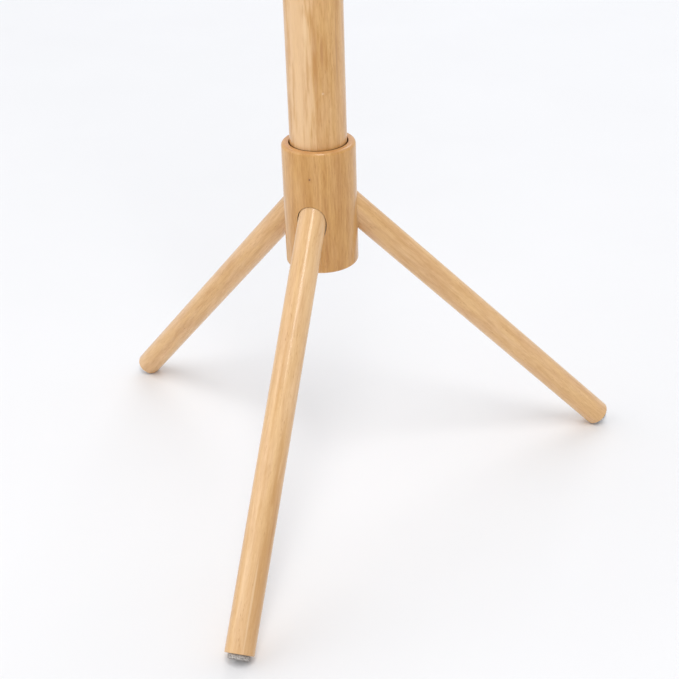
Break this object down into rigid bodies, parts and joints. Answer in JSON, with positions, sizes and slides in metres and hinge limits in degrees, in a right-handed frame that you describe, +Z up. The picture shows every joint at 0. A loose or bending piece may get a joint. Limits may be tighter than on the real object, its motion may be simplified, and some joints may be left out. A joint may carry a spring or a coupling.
{
  "type": "standing coat rack",
  "caption": "Free-standing wooden coat rack: a round post in a turned hub on splayed dowel legs, with angled pegs round its upper end for coats, hats and bags.",
  "frame": {"origin": "on the floor, at the middle of the rectangle that bounds the footprint; the post's axis stands on the Y axis, a quarter of the foot radius (56.9 mm) behind it", "axes": "+Z up along the post; -Y along the front leg, so the other two legs reach back to the left and right; +X to the right"},
  "size_m": [0.4098, 0.3579, 1.75],
  "materials": {
    "post_wood": "clear satin lacquer, pale honey, long straight grain",
    "hub_wood": "clear satin lacquer, slightly deeper honey, long straight grain",
    "leg_wood": "clear satin lacquer, honey, diagonal figure and short pores",
    "peg_wood": "clear satin lacquer, honey, straight grain",
    "felt": "needle felt, grey",
    "stud_steel": "zinc plated",
    "insert_alloy": "cast alloy, pale yellow passivation"
  },
  "bodies": {
    "root": {"base_hub": "hub_wood", "leg_front": "leg_wood", "leg_rear_right": "leg_wood", "leg_rear_left": "leg_wood", "foot_pad_front": "felt", "foot_pad_rear_right": "felt", "foot_pad_rear_left": "felt", "post_lower": "post_wood", "post_middle": "post_wood", "post_upper": "post_wood", "peg_top_left": "peg_wood", "peg_top_right": "peg_wood", "peg_upper_front": "peg_wood", "peg_upper_back": "peg_wood", "peg_lower_left": "peg_wood", "peg_lower_right": "peg_wood", "peg_bottom_front": "peg_wood", "peg_bottom_back": "peg_wood", "leg_studs": "stud_steel", "peg_studs": "stud_steel", "post_studs": "stud_steel", "leg_inserts": "insert_alloy", "peg_inserts": "insert_alloy", "post_inserts": "insert_alloy"}
  },
  "joints": []
}
